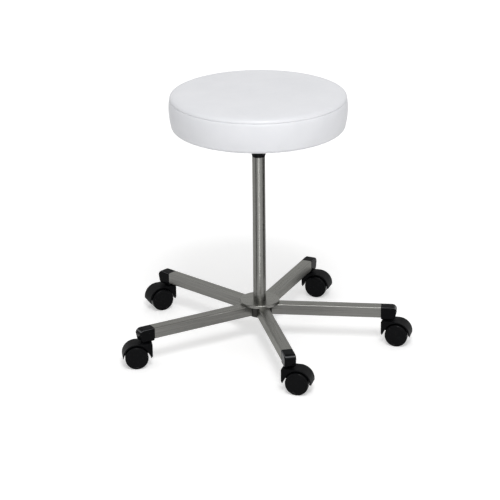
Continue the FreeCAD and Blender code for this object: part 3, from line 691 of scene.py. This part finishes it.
def cover_lengths(profile):
    """Rows of the cover, closer together round the seam and the lower edge."""
    near = SEAM_ROW_DISTANCES
    close = profile.seam + np.concatenate([-near[::-1], [0], near])
    top = np.linspace(0, close[0], TOP_ROWS)[:-1]
    band = np.linspace(close[-1], profile.hem_start, BAND_ROWS)[1:]
    hem = np.linspace(profile.hem_start, profile.hem_end, EDGE_ROWS)[1:]
    fold = np.linspace(profile.hem_end, profile.fold_end, FOLD_ROWS)[1:]
    return np.concatenate([top, close, band, hem, fold, [profile.total]])


def cover_angles():
    """Columns of the cover, closer together at the join at the back of its side band."""
    near = JOIN_COLUMN_DISTANCES / SEAT_RADIUS
    join = math.radians(BACK_JOIN_ANGLE)
    even = even_angles(COLUMNS)
    clear = even[np.abs(even - join) > JOIN_CLEARING * near[-1]]
    return np.sort(np.concatenate([clear, join - near, [join], join + near]))


def seam_shape(profile, lengths, angles):
    """The groove of the top seam, the rolls of cover beside it and the join at the back."""
    below = lengths - profile.seam
    groove = -SEAM_DEPTH * bell(below, SEAM_HALF_WIDTH)
    reach = np.where(below > 0, BAND_ROLL_HEIGHT, TOP_ROLL_HEIGHT)
    roll = -BAND_ROLL_DEPTH * np.exp(-np.abs(below) / reach)
    from_join = (angles - math.radians(BACK_JOIN_ANGLE)) * SEAT_RADIUS
    on_band = (below > 0) & (lengths < profile.hem_end)
    join = -BACK_JOIN_DEPTH * on_band[:, None] * bell(from_join, BACK_JOIN_HALF_WIDTH)[None, :]
    return (groove + roll)[:, None] + join


def lining_points(angles):
    """Rings of the cover's inner side, close round the board, and the middle of the board's top."""
    low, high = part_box("seat_board")
    reach = high.x + BOARD_GAP
    bottom = low.z - BOARD_GAP
    top = high.z + BOARD_GAP
    step = LINING_STEP
    section = [
        (FOLD_RADIUS + step, bottom), (reach - step, bottom), (reach, bottom), (reach, bottom + step),
        (reach, top - step), (reach, top), (reach - step, top), (reach / 2, top),
    ]
    rings = [(r * math.cos(angle), r * math.sin(angle), z) for r, z in section for angle in angles]
    return np.array(rings + [(0, 0, top)]), len(section)


def make_cushion(material):
    """The padded seat: a swollen cover, then its seam, its back join and the gathers below."""
    profile = Profile()
    sim_lengths = np.linspace(0, profile.total, SIM_ROWS)
    sim_lengths[np.argmin(np.abs(sim_lengths - profile.seam))] = profile.seam
    swell = simulate_skin(profile, sim_lengths)
    lengths = cover_lengths(profile)
    angles = cover_angles()
    sim_angles = np.append(even_angles(SIM_COLUMNS), 2 * math.pi)
    wrapped = np.column_stack([swell, swell[:, 0]])
    by_angle = np.array([np.interp(angles, sim_angles, row) for row in wrapped])
    push = np.array([np.interp(lengths, sim_lengths, column) for column in by_angle.T]).T
    push = push + seam_shape(profile, lengths, angles) + puckers(profile, lengths, angles)
    lining, lining_rings = lining_points(angles)
    points = np.vstack([skin_points(profile, lengths, angles, push), lining])
    faces = ring_faces(len(lengths) - 1 + lining_rings, len(angles), closed=True)
    mesh = new_mesh("seat_cushion", points, faces)
    cushion = new_piece("seat_cushion", mesh, material, "seat")
    smooth = cushion.modifiers.new("smooth", "SUBSURF")
    smooth.levels = 1
    smooth.render_levels = 1
    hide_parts("seat_cover", "seat_foam")


# Small fittings
def staple_points(angle):
    """Rings of points along one staple, which lies across the radius at an angle."""
    outward = Vector((math.cos(angle), math.sin(angle), 0))
    along = Vector((-math.sin(angle), math.cos(angle), 0))
    middle = outward * STAPLE_RING + Vector((0, 0, SEAT_LOW.z - STAPLE_SINK * STAPLE_WIRE))
    points = []
    for share, rise in STAPLE_PATH:
        for side in range(STAPLE_SIDES):
            turn = 2 * math.pi * side / STAPLE_SIDES
            ring = outward * math.cos(turn) + Vector((0, 0, math.sin(turn) + rise))
            points.append(middle + along * (share * STAPLE_LENGTH) + ring * STAPLE_WIRE)
    return points


def make_staples(material):
    """A ring of staples through the cover's fold, under the seat."""
    sides = STAPLE_SIDES
    vertices = []
    faces = []
    for number in range(STAPLE_COUNT):
        first = len(vertices)
        vertices += staple_points(2 * math.pi * number / STAPLE_COUNT)
        last = len(vertices)
        for a in range(first, last - sides, sides):
            b = a + sides
            for side in range(sides):
                after = (side + 1) % sides
                faces.append((a + side, b + side, b + after, a + after))
        faces.append(tuple(range(first, first + sides)))
        faces.append(tuple(range(last - 1, last - sides - 1, -1)))
    mesh = new_mesh("cover_staples", vertices, faces)
    new_piece("cover_staples", mesh, material, "seat")


def thread_mesh(low, high):
    """A closed length of two-start trapezoidal thread between two heights."""
    steps = len(THREAD_SHARES)
    pitch = THREAD_LEAD / THREAD_STARTS
    shift = steps * THREAD_STARTS
    radii = (THREAD_RADIUS, THREAD_RADIUS, THREAD_ROOT_RADIUS, THREAD_ROOT_RADIUS)
    rows = steps * (math.ceil((high - low) / pitch) + 2 * THREAD_STARTS)
    thread = bmesh.new()
    grid = []
    for row in range(rows + shift):
        height = low - THREAD_RUN_IN + pitch * (row // steps + THREAD_SHARES[row % steps])
        radius = radii[row % steps]
        line = []
        for column in range(THREAD_COLUMNS):
            turn = column / THREAD_COLUMNS
            angle = 2 * math.pi * turn
            place = (radius * math.cos(angle), radius * math.sin(angle), height + THREAD_LEAD * turn)
            line.append(thread.verts.new(place))
        grid.append(line)
    for row in range(rows - 1):
        for column in range(THREAD_COLUMNS):
            last = column == THREAD_COLUMNS - 1
            after = 0 if last else column + 1
            lift = shift if last else 0
            thread.faces.new((grid[row][column], grid[row + lift][after],
                              grid[row + lift + 1][after], grid[row + 1][column]))
    for height, side in ((low, -1), (high, 1)):
        everything = thread.verts[:] + thread.edges[:] + thread.faces[:]
        bmesh.ops.bisect_plane(thread, geom=everything, plane_co=(0, 0, height), plane_no=(0, 0, side),
                               clear_outer=True)
    loose = [vertex for vertex in thread.verts if not vertex.link_faces]
    bmesh.ops.delete(thread, geom=loose, context="VERTS")
    open_edges = [edge for edge in thread.edges if edge.is_boundary]
    bmesh.ops.holes_fill(thread, edges=open_edges)
    bmesh.ops.recalc_face_normals(thread, faces=thread.faces[:])
    return thread


def make_spindle(material):
    """The lift spindle: a threaded shaft between its plain socket end and its tip."""
    low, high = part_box("spindle")
    carrier_low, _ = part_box("seat_carrier")
    _, puck_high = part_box("guide_puck")
    thread_low = puck_high.z + PUCK_GAP
    thread_high = carrier_low.z + SOCKET_DEPTH
    shaft = thread_mesh(thread_low, thread_high)
    for radius, bottom, top in (
        (SPINDLE_END_RADIUS, thread_high - END_OVERLAP, high.z),
        (SPINDLE_TIP_RADIUS, low.z, thread_low + END_OVERLAP),
    ):
        place = Matrix.Translation((0, 0, (bottom + top) / 2))
        bmesh.ops.create_cone(shaft, cap_ends=True, segments=THREAD_COLUMNS, radius1=radius,
                              radius2=radius, depth=top - bottom, matrix=place)
    mesh = bpy.data.meshes.new("threaded_spindle")
    shaft.to_mesh(mesh)
    shaft.free()
    piece = new_piece("threaded_spindle", mesh, material, "seat", THREAD_CREASE)
    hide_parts("spindle")


# Studio
def make_camera():
    """The camera at the photograph's viewing angle."""
    data = bpy.data.cameras.new("camera")
    data.lens = LENS
    data.sensor_width = SENSOR
    camera = new_object("camera", data)
    elevation = math.radians(CAMERA_ELEVATION)
    place = Vector((
        0,
        -CAMERA_DISTANCE * math.cos(elevation),
        AIM_HEIGHT + CAMERA_DISTANCE * math.sin(elevation),
    ))
    turn = Matrix.Rotation(math.radians(CAMERA_AZIMUTH), 4, "Z")
    look = Matrix.Rotation(math.pi / 2 - elevation, 4, "X")
    pan = Matrix.Rotation(math.radians(CAMERA_PAN), 4, "Y")
    tilt = Matrix.Rotation(math.radians(-CAMERA_TILT), 4, "X")
    roll = Matrix.Rotation(math.radians(CAMERA_ROLL), 4, "Z")
    camera.matrix_world = turn @ Matrix.Translation(place) @ look @ pan @ tilt @ roll
    bpy.context.scene.camera = camera


def strength_by_ray(tree, seen, mirrored, scattered):
    """A strength for what the camera sees, for what gloss or glass shows and for scattered light."""
    path = tree.nodes.new("ShaderNodeLightPath")
    strengths = {"Is Transmission Ray": mirrored, "Is Glossy Ray": mirrored, "Is Camera Ray": seen}
    total = scattered
    for ray, strength in strengths.items():
        choice = tree.nodes.new("ShaderNodeMix")
        connect(tree, path.outputs[ray], choice.inputs["Factor"])
        connect(tree, total, choice.inputs["A"])
        connect(tree, strength, choice.inputs["B"])
        total = choice.outputs["Result"]
    return total


def make_world():
    """A white surround, which lights the object more softly than it looks."""
    world = bpy.data.worlds.new("studio")
    world.use_nodes = True
    bpy.context.scene.world = world
    tree = world.node_tree
    background = tree.nodes["Background"]
    background.inputs["Color"].default_value = WHITE
    strength = strength_by_ray(tree, seen=1.0, mirrored=1.0, scattered=WORLD_LIGHT)
    tree.links.new(strength, background.inputs["Strength"])


def matt_glow(name, colour):
    """A matt finish that can glow white."""
    finish = Finish(name, colour, MATT)
    finish.set("Specular IOR Level", 0.0)
    finish.set("Emission Color", WHITE)
    return finish


def make_floor():
    """A plain pale floor that keeps the object's shadow."""
    half = FLOOR_SIZE / 2
    corners = [(-half, -half, 0), (half, -half, 0), (half, half, 0), (-half, half, 0)]
    mesh = new_mesh("floor", corners, [(0, 1, 2, 3)])
    finish = matt_glow("floor", FLOOR_COLOUR)
    place = finish.node("ShaderNodeTexCoord", {}).outputs["Object"]
    away = finish.node("ShaderNodeVectorMath", {0: place}, operation="LENGTH").outputs["Value"]
    lift = finish.ramp(away, FLOOR_NEAR, FLOOR_FAR, FLOOR_NEAR_LIFT, FLOOR_FAR_LIFT, "SMOOTHSTEP")
    strength = strength_by_ray(finish.tree, seen=lift, mirrored=FLOOR_MIRRORED_LIFT, scattered=0.0)
    finish.set("Emission Strength", strength)
    mesh.materials.append(finish.material)
    floor = new_object("floor", mesh)


def make_lamp(name, place, size, power, mirrored=True):
    """A square soft box, which shows in glossy surfaces if it is mirrored."""
    data = bpy.data.lights.new(name, "AREA")
    data.size = size
    data.energy = power
    lamp = new_object(name, data)
    lamp.location = place
    lamp.rotation_euler = (Vector(LAMP_AIM) - Vector(place)).to_track_quat("-Z", "Y").to_euler()
    lamp.visible_glossy = mirrored


def make_card(name, angle, width, glow):
    """A narrow board, dark or glowing, that shows only as a band on the metal it faces."""
    half = width / 2
    corners = [(CARD_DISTANCE, -half, CARD_LOW), (CARD_DISTANCE, half, CARD_LOW),
               (CARD_DISTANCE, half, CARD_HIGH), (CARD_DISTANCE, -half, CARD_HIGH)]
    mesh = new_mesh(name, corners, [(3, 2, 1, 0)])
    finish = matt_glow(name, CARD_COLOUR)
    finish.set("Emission Strength", glow)
    finish.show_front_only()
    mesh.materials.append(finish.material)
    card = new_object(name, mesh)
    card.rotation_euler = (0, 0, math.radians(angle))
    card.visible_camera = False
    card.visible_diffuse = False
    card.visible_shadow = False


def make_studio():
    make_camera()
    make_world()
    make_floor()
    make_lamp("key_light", KEY_PLACE, KEY_SIZE, KEY_POWER)
    make_lamp("fill_light", FILL_PLACE, FILL_SIZE, FILL_POWER)
    make_lamp("back_light", BACK_PLACE, BACK_SIZE, BACK_POWER, mirrored=False)
    for name, card in CARDS.items():
        make_card(name, **card)
    bpy.context.scene.view_settings.view_transform = "Standard"


make_studio()
zinc = plain_steel("zinc_steel", ZINC_COLOUR, ZINC_ROUGHNESS)
spindle_steel = plain_steel("spindle_steel", SPINDLE_COLOUR, SPINDLE_ROUGHNESS)
dress_nodes(zinc, spindle_steel)
make_cushion(vinyl())
make_staples(zinc)
make_spindle(spindle_steel)
